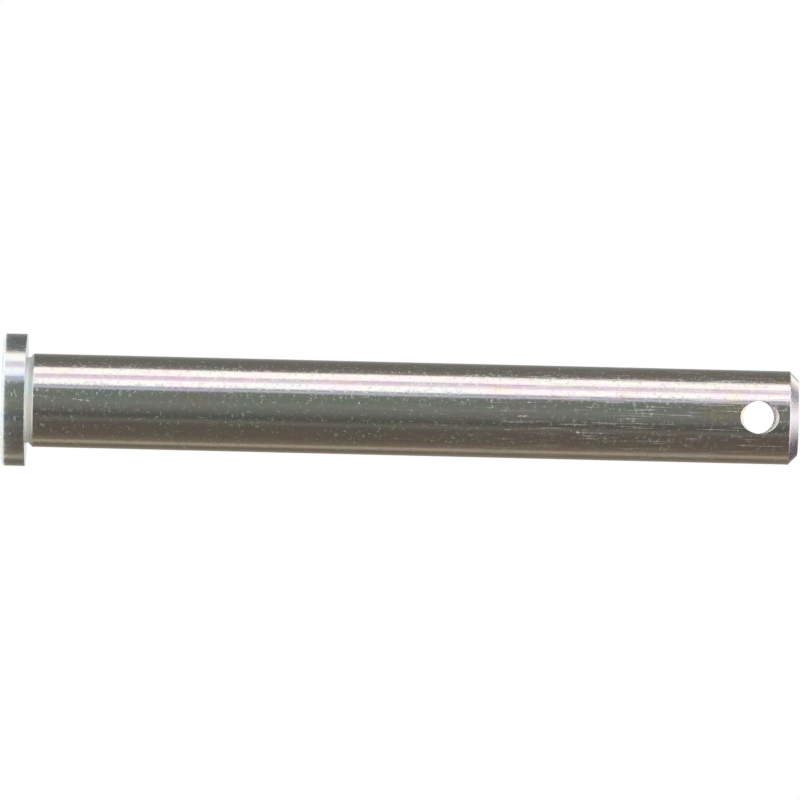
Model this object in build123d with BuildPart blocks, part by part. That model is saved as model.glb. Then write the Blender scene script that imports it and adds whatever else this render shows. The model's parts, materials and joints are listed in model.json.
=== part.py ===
# Clevis pin: a plain round pin with a flat head at one end and a cotter hole near the other.
#
# The pin is one solid, turned from round steel bar and cross-drilled. It stands on its head: the
# head's outer face lies on Z = 0, the pin's axis is +Z and the cotter hole runs along Y.
# All lengths are in millimetres and all angles in degrees.

from build123d import *

import os
from math import radians, tan

# Shank: the round length that turns in the eyes of a clevis
shank_diameter = 20.0  # slides in the eyes of a 20 mm clevis, which are bored with clearance
shank_length = 165.0  # from the head's underside to the tip's end face
tip_chamfer = 1.9  # 45 degree lead-in round the tip

# Head: the flat disc that stops the pin from passing through the eyes
head_diameter = 28.3
head_thickness = 5.1
head_rim_chamfer = 0.5  # on the outer face only, as the underside keeps a sharp rim

# Relief groove: turned into the shank against the head, so that an eye seats flat on the underside
relief_depth = 0.9
relief_root_radius = 0.3  # blends the groove's floor into the underside
relief_floor_width = 0.3  # the straight floor between the root radius and the flank
relief_flank_angle = 45.0  # between the flank and the pin's axis
relief_lip_radius = 0.4  # rounds the flank over onto the shank

# Cotter hole: drilled across the shank and countersunk at both mouths
cotter_hole_diameter = 7.1
cotter_hole_to_tip = 8.4  # from the hole's axis to the tip's end face
cotter_mouth_margin = 0.6  # added to the hole's radius where the countersink meets the shank's crest
cotter_mouth_angle = 90.0  # the countersink's included angle

shank_radius = shank_diameter / 2
head_radius = head_diameter / 2
neck_radius = shank_radius - relief_depth
cotter_hole_radius = cotter_hole_diameter / 2

# Heights above the head's outer face, from the head to the tip
underside_height = head_thickness
flank_foot_height = underside_height + relief_root_radius + relief_floor_width
lip_height = flank_foot_height + relief_depth / tan(radians(relief_flank_angle))
tip_height = underside_height + shank_length
cotter_hole_height = tip_height - cotter_hole_to_tip

with BuildPart() as clevis_pin:
    # Half of the turned outline, from the pin's axis outwards
    with BuildSketch(Plane.XZ) as turned_outline:
        with BuildLine():
            Polyline(
                (0, 0),
                (head_radius, 0),
                (head_radius, underside_height),
                (neck_radius, underside_height),
                (neck_radius, flank_foot_height),
                (shank_radius, lip_height),
                (shank_radius, tip_height),
                (0, tip_height),
                close=True,
            )
        make_face()
        relief_root = turned_outline.vertices().sort_by_distance((neck_radius, underside_height))[0]
        fillet(relief_root, radius=relief_root_radius)
        relief_lip = turned_outline.vertices().sort_by_distance((shank_radius, lip_height))[0]
        fillet(relief_lip, radius=relief_lip_radius)
    revolve(axis=Axis.Z)

    # The head's outer rim and the tip's rim are the lowest and the highest turned edges
    rims = clevis_pin.edges().filter_by(GeomType.CIRCLE).sort_by(Axis.Z)
    chamfer(rims[0], length=head_rim_chamfer)
    chamfer(rims[-1], length=tip_chamfer)

    # One hole runs right through, opened by a countersink on each side of the shank
    near_mouth = Plane(origin=(0, -shank_radius, cotter_hole_height), z_dir=(0, -1, 0))
    far_mouth = Plane(origin=(0, shank_radius, cotter_hole_height), z_dir=(0, 1, 0))
    with Locations(near_mouth, far_mouth):
        CounterSinkHole(
            radius=cotter_hole_radius,
            counter_sink_radius=cotter_hole_radius + cotter_mouth_margin,
            counter_sink_angle=cotter_mouth_angle,
        )

clevis_pin.part.label = "clevis_pin"

os.makedirs("parts", exist_ok=True)
export_step(clevis_pin.part, "parts/clevis_pin.step")
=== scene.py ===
import json
from math import cos, pi, radians, sin, tan

import bpy
from mathutils import Matrix, Vector


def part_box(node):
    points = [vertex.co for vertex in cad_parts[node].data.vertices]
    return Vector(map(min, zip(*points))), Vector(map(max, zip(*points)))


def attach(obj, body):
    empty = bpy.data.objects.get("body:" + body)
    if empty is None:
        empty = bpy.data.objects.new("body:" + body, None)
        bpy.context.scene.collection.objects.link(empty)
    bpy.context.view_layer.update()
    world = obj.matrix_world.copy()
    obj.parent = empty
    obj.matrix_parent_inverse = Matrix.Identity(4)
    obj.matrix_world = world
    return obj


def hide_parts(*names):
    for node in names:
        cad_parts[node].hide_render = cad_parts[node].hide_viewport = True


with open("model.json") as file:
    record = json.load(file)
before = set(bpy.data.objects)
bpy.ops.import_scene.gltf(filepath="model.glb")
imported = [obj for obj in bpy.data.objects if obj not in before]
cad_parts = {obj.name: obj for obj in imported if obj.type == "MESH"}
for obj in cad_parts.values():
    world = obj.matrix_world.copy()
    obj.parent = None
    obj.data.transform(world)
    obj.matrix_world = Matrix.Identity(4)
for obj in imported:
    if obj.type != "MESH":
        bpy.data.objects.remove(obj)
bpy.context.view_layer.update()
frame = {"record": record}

MM = 0.001


# The clevis pin. One piece of steel bar: the blank is turned on a lathe, with its head, the relief
# groove under it and the chamfered tip, then cross-drilled near the tip and countersunk from both
# sides, and last plated with bright zinc.

mounts = {mount["name"]: mount for mount in frame["record"]["mounts"]}
shank_radius = mounts["shank"]["dims"]["r_mm"] * MM
hole_radius = mounts["cotter_hole"]["dims"]["r_mm"] * MM
hole_height = mounts["cotter_hole"]["pos_m"][2]
underside_height = mounts["head_underside"]["pos_m"][2]
head_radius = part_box("clevis_pin")[1].x
tip_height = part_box("clevis_pin")[1].z

head_rim_chamfer = 0.5 * MM
tip_chamfer = 1.9 * MM
neck_radius = shank_radius - 0.9 * MM
flank_foot_height = underside_height + 0.6 * MM
lip_height = flank_foot_height + (shank_radius - neck_radius)
hole_mouth_margin = 0.6 * MM
deburred_edge = 0.12 * MM

# Each corner of the turned outline: its radius from the axis, its height and how far it is rounded
outline_corners = [
    (0, 0, 0),
    (head_radius - head_rim_chamfer, 0, deburred_edge),
    (head_radius, head_rim_chamfer, deburred_edge),
    (head_radius, underside_height, deburred_edge),
    (neck_radius, underside_height, 0.3 * MM),
    (neck_radius, flank_foot_height, deburred_edge),
    (shank_radius, lip_height, 0.4 * MM),
    (shank_radius, tip_height - tip_chamfer, deburred_edge),
    (shank_radius - tip_chamfer, tip_height, deburred_edge),
    (0, tip_height, 0),
]


def round_corner(before, corner, after, radius, steps=5):
    """Points of the arc that rounds one corner of an outline, both ends included."""
    to_before = (before - corner).normalized()
    to_after = (after - corner).normalized()
    half_angle = to_before.angle(to_after) / 2
    centre = corner + (to_before + to_after).normalized() * radius / sin(half_angle)
    start = corner + to_before * radius / tan(half_angle) - centre
    end = corner + to_after * radius / tan(half_angle) - centre
    return [centre + start.lerp(end, step / steps).normalized() * radius for step in range(steps + 1)]


def split_run(start, end, ring_spacing=4 * MM, edge_ring=0.3 * MM):
    """Points between two corners: one close to each, so that shading stays true, and rings between."""
    run = end - start
    if run.length < 3 * edge_ring:
        return []
    rings = int(run.length / ring_spacing) + 1
    inner_start = start + run.normalized() * edge_ring
    inner_end = end - run.normalized() * edge_ring
    return [inner_start.lerp(inner_end, ring / rings) for ring in range(rings + 1)]


def turned_outline(corners):
    """The outline's points in the XZ plane, from the head's centre round to the tip's centre."""
    spots = [Vector((radius, 0, height)) for radius, height, _ in corners]
    points = [spots[0]]
    for index in range(1, len(corners)):
        arc = [spots[index]]
        if corners[index][2]:
            arc = round_corner(spots[index - 1], spots[index], spots[index + 1], corners[index][2])
        points += split_run(points[-1], arc[0]) + arc
    return points


def add_node(tree, kind, inputs=None, stops=(), **settings):
    """Adds a node, sets its properties and colour stops, and fills or links its inputs."""
    node = tree.nodes.new(kind)
    for name, value in settings.items():
        setattr(node, name, value)
    for index, (position, hex_value) in enumerate(stops):
        stop = node.color_ramp.elements[index] if index < 2 else node.color_ramp.elements.new(position)
        stop.position = position
        stop.color = colour(hex_value)
    for name, value in (inputs or {}).items():
        for source in value if isinstance(value, list) else [value]:
            if isinstance(source, bpy.types.Node):
                source = source.outputs[0]
            if isinstance(source, bpy.types.NodeSocket):
                tree.links.new(source, node.inputs[name])
            else:
                node.inputs[name].default_value = source
    return node


def lathe_and_drill_tree():
    """Turns the outline that it is given about Z, then cuts the countersunk hole across it."""
    tree = bpy.data.node_groups.new("lathe_and_drill", "GeometryNodeTree")
    for name, kind in (
        ("Outline", "NodeSocketGeometry"),
        ("Turning Steps", "NodeSocketInt"),
        ("Shank Radius", "NodeSocketFloat"),
        ("Hole Radius", "NodeSocketFloat"),
        ("Hole Height", "NodeSocketFloat"),
        ("Mouth Margin", "NodeSocketFloat"),
        ("Material", "NodeSocketMaterial"),
    ):
        tree.interface.new_socket(name, in_out="INPUT", socket_type=kind)
    tree.interface.new_socket("Pin", in_out="OUTPUT", socket_type="NodeSocketGeometry")
    given = add_node(tree, "NodeGroupInput").outputs
    outline = given["Outline"]
    steps = given["Turning Steps"]
    shank = given["Shank Radius"]
    hole = given["Hole Radius"]
    margin = given["Mouth Margin"]

    # Lathe: a grid with one column for each turning step, each column laid on the outline
    outline_size = add_node(tree, "GeometryNodeAttributeDomainSize", {"Geometry": outline})
    points = outline_size.outputs["Point Count"]
    columns = add_node(tree, "ShaderNodeMath", {0: steps, 1: 1}, operation="ADD")
    sheet = add_node(tree, "GeometryNodeMeshGrid", {"Vertices X": columns, "Vertices Y": points})
    index = add_node(tree, "GeometryNodeInputIndex")
    along = add_node(tree, "ShaderNodeMath", {0: index, 1: points}, operation="MODULO")
    column = add_node(tree, "ShaderNodeMath", {0: index, 1: points}, operation="DIVIDE")
    column = add_node(tree, "ShaderNodeMath", {0: column}, operation="FLOOR")
    share = add_node(tree, "ShaderNodeMath", {0: column, 1: steps}, operation="DIVIDE")
    turn = add_node(tree, "ShaderNodeMath", {0: share, 1: 2 * pi}, operation="MULTIPLY")
    position = add_node(tree, "GeometryNodeInputPosition")
    on_outline = add_node(
        tree,
        "GeometryNodeSampleIndex",
        {"Geometry": outline, "Value": position, "Index": along},
        data_type="FLOAT_VECTOR",
    )
    turned = add_node(
        tree, "ShaderNodeVectorRotate", {"Vector": on_outline, "Angle": turn}, rotation_type="Z_AXIS"
    )
    blank = add_node(tree, "GeometryNodeSetPosition", {"Geometry": sheet, "Position": turned})
    blank = add_node(
        tree, "GeometryNodeMergeByDistance", {"Geometry": blank, "Distance": 0.001 * MM}
    )

    # Drill: a long cylinder, and a 90 degree countersink that stands out past each side of the shank
    round_steps = 160
    overrun = 1 * MM
    inset = 0.3 * MM
    drill_length = add_node(tree, "ShaderNodeMath", {0: shank, 1: 3}, operation="MULTIPLY")
    drill = add_node(
        tree,
        "GeometryNodeMeshCylinder",
        {"Vertices": round_steps, "Radius": hole, "Depth": drill_length},
    )
    middle = add_node(tree, "ShaderNodeCombineXYZ", {"Z": given["Hole Height"]})
    cutters = [
        add_node(
            tree,
            "GeometryNodeTransform",
            {"Geometry": drill, "Translation": middle, "Rotation": (pi / 2, 0, 0)},
        )
    ]
    reach_in = add_node(tree, "ShaderNodeMath", {0: margin, 1: inset}, operation="ADD")
    cone_bottom = add_node(tree, "ShaderNodeMath", {0: hole, 1: inset}, operation="SUBTRACT")
    mouth = add_node(tree, "ShaderNodeMath", {0: hole, 1: margin}, operation="ADD")
    cone_top = add_node(tree, "ShaderNodeMath", {0: mouth, 1: overrun}, operation="ADD")
    cone_depth = add_node(tree, "ShaderNodeMath", {0: reach_in, 1: overrun}, operation="ADD")
    cone = add_node(
        tree,
        "GeometryNodeMeshCone",
        {
            "Vertices": round_steps,
            "Radius Bottom": cone_bottom,
            "Radius Top": cone_top,
            "Depth": cone_depth,
        },
    )
    seat_depth = add_node(tree, "ShaderNodeMath", {0: shank, 1: reach_in}, operation="SUBTRACT")
    for side in (-1, 1):
        across = add_node(tree, "ShaderNodeMath", {0: seat_depth, 1: side}, operation="MULTIPLY")
        seat = add_node(tree, "ShaderNodeCombineXYZ", {"Y": across, "Z": given["Hole Height"]})
        cutters.append(
            add_node(
                tree,
                "GeometryNodeTransform",
                {"Geometry": cone, "Translation": seat, "Rotation": (-side * pi / 2, 0, 0)},
            )
        )
    drilled = add_node(
        tree,
        "GeometryNodeMeshBoolean",
        {"Mesh 1": blank, "Mesh 2": cutters},
        operation="DIFFERENCE",
        solver="MANIFOLD",
    )
    solid = add_node(tree, "GeometryNodeRealizeInstances", {"Geometry": drilled})
    finished = add_node(
        tree, "GeometryNodeSetMaterial", {"Geometry": solid, "Material": given["Material"]}
    )
    add_node(tree, "NodeGroupOutput", {"Pin": finished})
    return tree


def make_pin(name, points, tree, sizes):
    """Runs the outline's points through the tree and returns the result as one plain mesh object."""
    outline = bpy.data.meshes.new(name + "_outline")
    edges = [(index, index + 1) for index in range(len(points) - 1)]
    outline.from_pydata(points, edges, [])
    former = bpy.data.objects.new(name + "_outline", outline)
    bpy.context.scene.collection.objects.link(former)
    modifier = former.modifiers.new("lathe_and_drill", "NODES")
    modifier.node_group = tree
    sockets = {item.name: item.identifier for item in tree.interface.items_tree}
    for size, value in sizes.items():
        modifier[sockets[size]] = value
    evaluated = former.evaluated_get(bpy.context.evaluated_depsgraph_get())
    mesh = bpy.data.meshes.new_from_object(evaluated)
    mesh.name = name
    bpy.data.objects.remove(former)
    mesh.polygons.foreach_set("use_smooth", [True] * len(mesh.polygons))
    mesh.set_sharp_from_angle(angle=radians(30))
    # The tip's centre is many points merged, and their mean can come out a hair too high
    for vertex in mesh.vertices:
        vertex.co.z = min(vertex.co.z, tip_height)
    piece = bpy.data.objects.new(name, mesh)
    bpy.context.scene.collection.objects.link(piece)
    return piece


def colour(hex_value):
    """An sRGB hex colour as the linear RGBA that nodes take."""
    channels = [int(hex_value[start:start + 2], 16) / 255 for start in (1, 3, 5)]
    linear = [c / 12.92 if c <= 0.04045 else ((c + 0.055) / 1.055) ** 2.4 for c in channels]
    return (*linear, 1)


# The knocks on the -Y side: how far across and along the pin, their slant, length and width
knock_marks = [
    (-0.2 * MM, 17.9 * MM, radians(6), 6.6 * MM, 0.3 * MM),
    (3.6 * MM, 29 * MM, radians(-12), 2.5 * MM, 0.35 * MM),
    (-1.1 * MM, 76.3 * MM, radians(30), 0.9 * MM, 0.5 * MM),
    (-2.2 * MM, 95.7 * MM, radians(50), 0.7 * MM, 0.5 * MM),
    (0.9 * MM, 111.2 * MM, radians(-5), 2.8 * MM, 0.5 * MM),
    (4.1 * MM, 123 * MM, radians(12), 1.5 * MM, 0.35 * MM),
    (0.7 * MM, 126.3 * MM, radians(2), 2.9 * MM, 0.35 * MM),
]


def bright_zinc():
    """Bright zinc plate on steel: ground smooth on the shank, left as turned everywhere else."""
    material = bpy.data.materials.new("bright_zinc_plate")
    material.use_nodes = True
    tree = material.node_tree
    tree.nodes.clear()

    # The place on the pin, its height, and how far it is from the axis
    place = add_node(tree, "ShaderNodeTexCoord").outputs["Object"]
    height = add_node(tree, "ShaderNodeSeparateXYZ", {0: place}).outputs["Z"]
    level = add_node(tree, "ShaderNodeMapping", {"Vector": place, "Scale": (1, 1, 0)})
    radius = add_node(tree, "ShaderNodeVectorMath", {0: level}, operation="LENGTH").outputs["Value"]
    section = add_node(tree, "ShaderNodeCombineXYZ", {"X": radius, "Z": height})

    # Where the ground shank is, and where the recesses are: the groove and the hole
    past_lip = add_node(
        tree,
        "ShaderNodeMapRange",
        {"Value": height, "From Min": lip_height - 0.1 * MM, "From Max": lip_height + 0.1 * MM},
    )
    full_round = add_node(
        tree,
        "ShaderNodeMapRange",
        {"Value": radius, "From Min": shank_radius - 0.12 * MM, "From Max": shank_radius - 0.03 * MM},
    )
    ground = add_node(tree, "ShaderNodeMath", {0: past_lip, 1: full_round}, operation="MULTIPLY")
    past_head = add_node(
        tree,
        "ShaderNodeMapRange",
        {"Value": height, "From Min": underside_height, "From Max": underside_height + 0.1 * MM},
    )
    short_of_tip = add_node(
        tree, "ShaderNodeMath", {0: height, 1: tip_height - tip_chamfer}, operation="LESS_THAN"
    )
    between = add_node(tree, "ShaderNodeMath", {0: past_head, 1: short_of_tip}, operation="MULTIPLY")
    # This recess mask also lifts the colour of the groove and the hole further down, as a painted
    # reflection
    recess_and_painted_reflection = add_node(
        tree, "ShaderNodeMapRange", {"Value": full_round, "To Min": between, "To Max": 0.0}
    )

    # The clear passivate shows as slow clouds of green, violet and straw, 4 mm across and 10 mm long.
    # The head is bluer than the shank, and towards the tip there is more straw.
    drawn_out = add_node(tree, "ShaderNodeMapping", {"Vector": place, "Scale": (1, 1, 0.4)})
    clouds = add_node(
        tree,
        "ShaderNodeTexNoise",
        {"Vector": drawn_out, "Scale": 1 / (4 * MM), "Detail": 2.0, "Roughness": 0.5},
    )
    drift_per_metre = 0.6
    drift = add_node(
        tree, "ShaderNodeMath", {0: height, 1: drift_per_metre, 2: clouds}, operation="MULTIPLY_ADD"
    )
    head_shift = add_node(
        tree, "ShaderNodeMapRange", {"Value": past_head, "To Min": -0.28, "To Max": -0.05}
    )
    drift = add_node(tree, "ShaderNodeMath", {0: drift, 1: head_shift}, operation="ADD")
    tint = add_node(
        tree,
        "ShaderNodeValToRGB",
        {"Fac": drift},
        stops=[
            (0.12, "#d3e0ec"),
            (0.28, "#dce3e4"),
            (0.41, "#dfe4de"),
            (0.5, "#e3e3e1"),
            (0.59, "#e4dfe5"),
            (0.74, "#e7e0d2"),
        ],
    )

    # Flecks 0.3 to 0.8 mm across, where the plate's grain is coarser, stronger in the greener clouds
    grain = add_node(
        tree,
        "ShaderNodeTexNoise",
        {"Vector": place, "Scale": 1 / (0.8 * MM), "Detail": 3.0, "Roughness": 0.7},
    )
    flecks = add_node(tree, "ShaderNodeMapRange", {"Value": grain, "From Min": 0.53, "From Max": 0.68})
    gathered = add_node(
        tree,
        "ShaderNodeMapRange",
        {"Value": clouds, "From Min": 0.38, "From Max": 0.62, "To Min": 1.15, "To Max": 0.75},
    )
    flecks = add_node(tree, "ShaderNodeMath", {0: flecks, 1: gathered}, operation="MULTIPLY")

    # Pits 0.3 mm across, one in every few millimetres
    cells = add_node(
        tree, "ShaderNodeTexVoronoi", {"Vector": place, "Scale": 1 / (1.6 * MM), "Randomness": 1.0}
    )
    from_centre = cells.outputs["Distance"]
    pits = add_node(
        tree,
        "ShaderNodeMapRange",
        {"Value": from_centre, "From Min": 0.06, "From Max": 0.14, "To Min": 1.0, "To Max": 0.0},
    )

    # Hair scratches: fine curls that follow the contours of a slow pattern and soon break off
    swirl = add_node(
        tree,
        "ShaderNodeTexNoise",
        {"Vector": place, "Scale": 1 / (3 * MM), "Detail": 1.0, "Distortion": 1.2},
    )
    on_contour = add_node(
        tree, "ShaderNodeMath", {0: swirl, 1: 0.5, 2: 0.009}, operation="COMPARE"
    )
    shifted = add_node(tree, "ShaderNodeMapping", {"Vector": place, "Location": (0.3, 0.1, 0.7)})
    broken = add_node(
        tree, "ShaderNodeTexNoise", {"Vector": shifted, "Scale": 1 / (1.8 * MM), "Detail": 0.0}
    )
    some = add_node(tree, "ShaderNodeMapRange", {"Value": broken, "From Min": 0.58, "From Max": 0.66})
    hairs = add_node(tree, "ShaderNodeMath", {0: on_contour, 1: some}, operation="MULTIPLY")

    # Streaks along the shank from sliding through its fork, 0.1 mm wide, more of them near the tip
    along_shank = add_node(tree, "ShaderNodeMapping", {"Vector": place, "Scale": (1, 1, 0.03)})
    lines = add_node(
        tree, "ShaderNodeTexNoise", {"Vector": along_shank, "Scale": 1 / (0.3 * MM), "Detail": 1.0}
    )
    fine_lines = add_node(tree, "ShaderNodeMapRange", {"Value": lines, "From Min": 0.57, "From Max": 0.7})
    rubbed = add_node(
        tree,
        "ShaderNodeMapRange",
        {"Value": height, "From Min": 80 * MM, "From Max": 120 * MM, "To Min": 0.2, "To Max": 1.0},
    )
    streaks = add_node(tree, "ShaderNodeMath", {0: fine_lines, 1: rubbed}, operation="MULTIPLY")

    # Tool rings, 0.25 mm from one to the next, on everything that was turned and not ground
    rings = add_node(
        tree, "ShaderNodeTexNoise", {"Vector": section, "Scale": 1 / (0.25 * MM), "Detail": 1.0}
    )

    # How near the closest deburred edge is, in the turned section
    nearest = None
    for edge_radius, edge_height, rounding in outline_corners:
        if rounding:
            apart = add_node(
                tree,
                "ShaderNodeVectorMath",
                {0: section, 1: (edge_radius, 0, edge_height)},
                operation="DISTANCE",
            ).outputs["Value"]
            if nearest:
                apart = add_node(tree, "ShaderNodeMath", {0: nearest, 1: apart}, operation="MINIMUM")
            nearest = apart
    ragged = add_node(
        tree, "ShaderNodeMath", {0: grain, 1: -1.2 * MM, 2: nearest}, operation="MULTIPLY_ADD"
    )
    worn = add_node(
        tree,
        "ShaderNodeMapRange",
        {"Value": ragged, "From Min": -0.5 * MM, "From Max": -0.25 * MM, "To Min": 1.0, "To Max": 0.0},
    )

    # The few knocks that the shank has taken in use, each a short shallow smear in the plate
    knocks = 0.0
    for across, along, slant, length, width in knock_marks:
        depth = (shank_radius**2 - across**2) ** 0.5
        centred = add_node(
            tree,
            "ShaderNodeMapping",
            {
                "Vector": place,
                "Location": (across, -depth, along),
                "Rotation": (0, slant, 0),
                "Scale": (width / 2, width, length / 2),
            },
            vector_type="TEXTURE",
        )
        off = add_node(tree, "ShaderNodeVectorMath", {0: centred}, operation="LENGTH").outputs["Value"]
        smear = add_node(
            tree,
            "ShaderNodeMapRange",
            {"Value": off, "From Min": 0.5, "From Max": 1.0, "To Min": 1.0, "To Max": 0.0},
        )
        knocks = add_node(tree, "ShaderNodeMath", {0: knocks, 1: smear}, operation="MAXIMUM")
    patchy = add_node(tree, "ShaderNodeMapRange", {"Value": grain, "From Min": 0.4, "From Max": 0.6})
    knocks = add_node(tree, "ShaderNodeMath", {0: knocks, 1: patchy}, operation="MULTIPLY")

    # The colour's value, a share of the tint: the groove and the hole lighter, a painted reflection of
    # the bright light they catch; fresh marks lighter, pits darker
    marks = add_node(tree, "ShaderNodeMath", {0: hairs, 1: streaks}, operation="MAXIMUM")
    marks = add_node(tree, "ShaderNodeMath", {0: marks, 1: worn}, operation="MAXIMUM")
    # Painted reflection: the groove and the hole get a quarter more value, standing in for the bright
    # light they catch
    value = add_node(tree, "ShaderNodeMath", {0: recess_and_painted_reflection, 1: 0.24, 2: 1.0}, operation="MULTIPLY_ADD")
    value = add_node(tree, "ShaderNodeMath", {0: marks, 1: 0.06, 2: value}, operation="MULTIPLY_ADD")
    value = add_node(tree, "ShaderNodeMath", {0: knocks, 1: 0.2, 2: value}, operation="MULTIPLY_ADD")
    value = add_node(tree, "ShaderNodeMath", {0: pits, 1: -0.08, 2: value}, operation="MULTIPLY_ADD")
    plate = add_node(tree, "ShaderNodeHueSaturation", {"Color": tint, "Value": value})

    # The roughness: 0.1 on the ground shank, 0.15 as turned, 0.59 in the recesses, and more on marks
    smooth = add_node(tree, "ShaderNodeMath", {0: flecks, 1: 0.3, 2: 0.1}, operation="MULTIPLY_ADD")
    coarse = add_node(tree, "ShaderNodeMath", {0: recess_and_painted_reflection, 1: 0.44, 2: 0.15}, operation="MULTIPLY_ADD")
    coarse = add_node(tree, "ShaderNodeMath", {0: flecks, 1: 0.08, 2: coarse}, operation="MULTIPLY_ADD")
    rough = add_node(tree, "ShaderNodeMapRange", {"Value": ground, "To Min": coarse, "To Max": smooth})
    rough = add_node(tree, "ShaderNodeMath", {0: marks, 1: 0.14, 2: rough}, operation="MULTIPLY_ADD")
    rough = add_node(tree, "ShaderNodeMath", {0: knocks, 1: 0.4, 2: rough}, operation="MULTIPLY_ADD")
    rough = add_node(tree, "ShaderNodeMath", {0: streaks, 1: 0.15, 2: rough}, operation="MULTIPLY_ADD")

    # Relief in millimetres: pits and scratches go down, flecks stand up, the tool rings only show
    # where it was turned, and slow waves 0.09 mm high bend the reflections a little
    relief = add_node(tree, "ShaderNodeMath", {0: pits, 1: -0.006}, operation="MULTIPLY")
    relief = add_node(tree, "ShaderNodeMath", {0: marks, 1: -0.003, 2: relief}, operation="MULTIPLY_ADD")
    relief = add_node(tree, "ShaderNodeMath", {0: flecks, 1: 0.003, 2: relief}, operation="MULTIPLY_ADD")
    ring_depth = add_node(tree, "ShaderNodeMapRange", {"Value": ground, "To Min": 0.0025, "To Max": 0.0})
    relief = add_node(
        tree, "ShaderNodeMath", {0: rings, 1: ring_depth, 2: relief}, operation="MULTIPLY_ADD"
    )
    waves = add_node(
        tree, "ShaderNodeTexNoise", {"Vector": drawn_out, "Scale": 1 / (12 * MM), "Detail": 0.0}
    )
    relief = add_node(tree, "ShaderNodeMath", {0: waves, 1: 0.09, 2: relief}, operation="MULTIPLY_ADD")
    bump = add_node(tree, "ShaderNodeBump", {"Height": relief, "Distance": MM, "Strength": 1.0})
    surface = add_node(
        tree,
        "ShaderNodeBsdfPrincipled",
        {"Base Color": plate, "Metallic": 1.0, "Roughness": rough, "Normal": bump},
    )
    add_node(tree, "ShaderNodeOutputMaterial", {"Surface": surface})
    return material


zinc = bright_zinc()
pin = make_pin(
    "zinc_plated_pin",
    turned_outline(outline_corners),
    lathe_and_drill_tree(),
    {
        "Turning Steps": 288,
        "Shank Radius": shank_radius,
        "Hole Radius": hole_radius,
        "Hole Height": hole_height,
        "Mouth Margin": hole_mouth_margin,
        "Material": zinc,
    },
)
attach(pin, "root")
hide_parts("clevis_pin")


# The light tent. Glossy plate shows whatever stands round it, so the pin stands in a closed tent
# whose walls are gradated panels: two tall softboxes side by side, and dull grey, olive and brown
# boards elsewhere. The camera looks in from outside and doesn't see the tent itself.

# Going round level with the pin, in degrees from the -Y side towards the -X side: each stop has a
# colour and a brightness, and the walls blend from stop to stop
level_stops = [
    (180, "#ececec", 1.0),
    (172, "#f4f4f4", 1.0),
    (166, "#acaaa6", 1.0),
    (150, "#898882", 1.0),
    (140, "#7a7872", 1.0),
    (128, "#74726a", 1.0),
    (112, "#76716a", 1.0),
    (102, "#7e7871", 1.0),
    (97, "#89837c", 1.0),
    (92, "#9f9892", 1.0),
    (89.3, "#fff8f2", 1.28),
    (85, "#fff9f3", 1.34),
    (71.5, "#fff8f5", 1.35),
    (69.6, "#f6e9ef", 1.0),
    (67.9, "#d2bcd4", 1.0),
    (66.2, "#f2e0ec", 1.0),
    (64, "#f3e1ec", 1.0),
    (59.5, "#f9e6f0", 1.0),
    (55.5, "#fff8f8", 1.36),
    (42.4, "#fefaf9", 1.32),
    (40.8, "#aca7bd", 1.0),
    (36.5, "#bbb8c6", 1.0),
    (35.5, "#d2d1dd", 1.0),
    (33, "#d2d2dd", 1.0),
    (31, "#7f827a", 1.0),
    (20, "#797e76", 1.0),
    (8, "#7b7f76", 1.0),
    (0, "#81847c", 1.0),
    (-7, "#797b75", 1.0),
    (-13, "#757770", 1.0),
    (-21, "#696b64", 1.0),
    (-27, "#5f6058", 1.0),
    (-32, "#5a5a52", 1.0),
    (-36, "#5f5e56", 1.0),
    (-41, "#706e65", 1.0),
    (-45, "#747167", 1.0),
    (-49, "#666259", 1.0),
    (-56, "#645d55", 1.0),
    (-75, "#665e53", 1.0),
    (-89, "#6a6054", 1.0),
    (-98, "#74695b", 1.0),
    (-105, "#7c7160", 1.0),
    (-109, "#817667", 1.0),
    (-113, "#a89d8a", 1.0),
    (-118, "#b0a493", 1.0),
    (-123, "#9b907f", 1.0),
    (-129, "#786e5e", 1.0),
    (-135, "#766b5b", 1.0),
    (-148, "#82786c", 1.0),
    (-160, "#9b9288", 1.0),
    (-168, "#9c968e", 1.0),
    (-173, "#f3f3f3", 1.0),
    (-180, "#ececec", 1.0),
]

# The same, for the tent's upper and lower walls, its top and its bottom
upper_stops = [
    (180, "#fffaf8", 1.3),
    (148, "#fffaf8", 1.3),
    (142, "#f5e6ea", 1.0),
    (133, "#d8d0d6", 1.0),
    (129, "#858488", 1.0),
    (108, "#88878b", 1.0),
    (95, "#b8b6ba", 1.0),
    (70, "#f6f8f4", 1.5),
    (0, "#fff8f0", 1.9),
    (-70, "#fff4e8", 1.8),
    (-105, "#6e646a", 1.0),
    (-160, "#6b6168", 1.0),
    (-172, "#fffaf8", 1.0),
    (-180, "#fffaf8", 1.3),
]
lower_stops = [
    (180, "#b4b2ae", 1.0),
    (110, "#8b8883", 1.0),
    (98, "#a29e98", 1.0),
    (91, "#fff9f3", 1.28),
    (46, "#fffbfa", 1.28),
    (38, "#bcbcc2", 1.0),
    (24, "#8a8c86", 1.0),
    (-60, "#7e7a72", 1.0),
    (-90, "#8a847c", 1.0),
    (-98, "#f0eae2", 1.0),
    (-130, "#f0eae2", 1.0),
    (-138, "#928c84", 1.0),
    (-180, "#b4b2ae", 1.0),
]
tent_top = ("#f4f2f7", 1.25)
tent_bottom = ("#e8e7e4", 1.0)
tent_radius = 1.2

# The rings that make up the tent, by their elevation in degrees
tent_rings = [
    (-60, lower_stops),
    (-45, lower_stops),
    (-30, lower_stops),
    (-20, level_stops),
    (0, level_stops),
    (22, level_stops),
    (34, upper_stops),
    (58, upper_stops),
]


def shine(hex_value, strength):
    """The light that a wall of one colour and brightness gives."""
    return Vector(colour(hex_value)[:3]) * strength


def stop_shine(stops, angle):
    """The walls' light at one angle, between the two stops on either side of it."""
    for (start, *first), (end, *second) in zip(stops, stops[1:]):
        if end <= angle <= start:
            return shine(*first).lerp(shine(*second), (start - angle) / (start - end))


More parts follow.
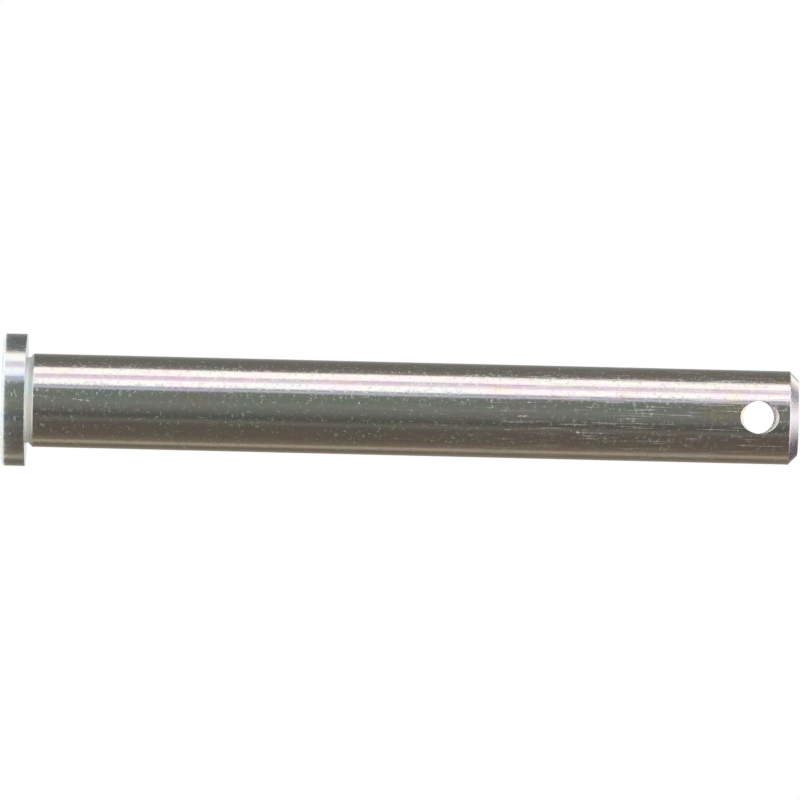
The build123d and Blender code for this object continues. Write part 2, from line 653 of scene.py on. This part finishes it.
def light_tent():
    """A ball round the pin, painted with light."""
    angles = sorted({stop[0] for _, stops in tent_rings for stop in stops})
    corners = [(0, 0, -tent_radius)]
    light = [shine(*tent_bottom)]
    for elevation, stops in tent_rings:
        for angle in angles[1:]:
            turn = radians(angle)
            tilt = radians(elevation)
            corners.append(
                (
                    -tent_radius * cos(tilt) * sin(turn),
                    -tent_radius * cos(tilt) * cos(turn),
                    tent_radius * sin(tilt),
                )
            )
            light.append(stop_shine(stops, angle))
    corners.append((0, 0, tent_radius))
    light.append(shine(*tent_top))
    columns = len(angles) - 1
    faces = []
    for column in range(columns):
        beside = (column + 1) % columns
        faces.append((0, 1 + column, 1 + beside))
        for ring in range(len(tent_rings) - 1):
            low = 1 + ring * columns
            high = low + columns
            faces.append((low + column, high + column, high + beside, low + beside))
        last = 1 + (len(tent_rings) - 1) * columns
        faces.append((last + column, len(corners) - 1, last + beside))
    mesh = bpy.data.meshes.new("light_tent")
    mesh.from_pydata(corners, [], faces)
    paint = mesh.color_attributes.new("shine", "FLOAT_COLOR", "POINT")
    for spot, value in zip(paint.data, light):
        spot.color = (*value, 1)
    material = bpy.data.materials.new("lit_tent_cloth")
    material.use_nodes = True
    tree = material.node_tree
    tree.nodes.clear()
    painted = add_node(tree, "ShaderNodeAttribute", attribute_name="shine")
    glow = add_node(tree, "ShaderNodeEmission", {"Color": painted.outputs["Color"], "Strength": 1.0})
    add_node(tree, "ShaderNodeOutputMaterial", {"Surface": glow})
    mesh.materials.append(material)
    tent = bpy.data.objects.new("light_tent", mesh)
    bpy.context.scene.collection.objects.link(tent)
    tent.visible_camera = False
    return tent


light_tent()

world = bpy.data.worlds.new("white_cove")
bpy.context.scene.world = world
world.use_nodes = True
world.node_tree.nodes["Background"].inputs["Color"].default_value = colour("#ffffff")


# The floor. The pin stands on pale paper laid over a low mound: it is flat under the head and
# falls gently away all round, so that the head's side shows the tent and not the paper.

floor_flat_radius = 0.016
floor_radius = 0.2
floor_fall_per_metre = 3.0
floor_gap = 0.01 * MM
paper_glow = 0.45


def floor_paper():
    """Pale matt paper that runs out to plain white, and still takes the pin's shadow."""
    material = bpy.data.materials.new("floor_paper")
    material.use_nodes = True
    tree = material.node_tree
    tree.nodes.clear()
    paper = add_node(tree, "ShaderNodeBsdfDiffuse", {"Color": colour("#f3f2f0")})
    path = add_node(tree, "ShaderNodeLightPath")
    seen = add_node(
        tree,
        "ShaderNodeMath",
        {0: path.outputs["Is Camera Ray"], 1: path.outputs["Is Glossy Ray"]},
        operation="MAXIMUM",
    )
    seen = add_node(
        tree,
        "ShaderNodeMath",
        {0: seen, 1: path.outputs["Is Transmission Ray"]},
        operation="MAXIMUM",
    )
    strength = add_node(tree, "ShaderNodeMath", {0: seen, 1: paper_glow}, operation="MULTIPLY")
    glow = add_node(tree, "ShaderNodeEmission", {"Color": colour("#ffffff"), "Strength": strength})
    both = add_node(tree, "ShaderNodeAddShader", {0: paper, 1: glow})
    add_node(tree, "ShaderNodeOutputMaterial", {"Surface": both})
    return material


def floor_mound(rings=24, columns=96):
    """A low mound of paper: flat under the head, and falling ever more steeply outwards."""
    corners = [(0, 0, -floor_gap)]
    for ring in range(rings + 1):
        reach = floor_flat_radius + (floor_radius - floor_flat_radius) * ring / rings
        drop = floor_fall_per_metre * (reach - floor_flat_radius) ** 2
        for column in range(columns):
            turn = 2 * pi * column / columns
            corners.append((reach * cos(turn), reach * sin(turn), -floor_gap - drop))
    faces = []
    for column in range(columns):
        beside = (column + 1) % columns
        faces.append((0, 1 + column, 1 + beside))
        for ring in range(rings):
            near = 1 + ring * columns
            far = near + columns
            faces.append((near + column, far + column, far + beside, near + beside))
    mesh = bpy.data.meshes.new("floor")
    mesh.from_pydata(corners, [], faces)
    mesh.polygons.foreach_set("use_smooth", [True] * len(mesh.polygons))
    mesh.materials.append(floor_paper())
    floor = bpy.data.objects.new("floor", mesh)
    bpy.context.scene.collection.objects.link(floor)
    return floor


floor_mound()


# The camera stands far off on the -Y side with a long lens, level with the middle of the pin, and is
# turned on its side, so that the pin lies across the picture with its head on the left.
camera_distance = 2.74
lens = 576.5
roll = radians(1.357)
aim_height = 0.085
aim_shift = 0.00189
camera_data = bpy.data.cameras.new("camera")
camera_data.lens = lens
camera = bpy.data.objects.new("camera", camera_data)
bpy.context.scene.collection.objects.link(camera)
picture_right = Vector((-sin(roll), 0, cos(roll)))
picture_up = Vector((-cos(roll), 0, -sin(roll)))
away = Vector((0, -1, 0))
aim = Vector((0, 0, aim_height)) + picture_up * aim_shift
facing = Matrix((picture_right, picture_up, away)).transposed().to_4x4()
camera.matrix_world = Matrix.Translation(aim + away * camera_distance) @ facing
bpy.context.scene.camera = camera

bpy.context.scene.view_settings.view_transform = "Standard"
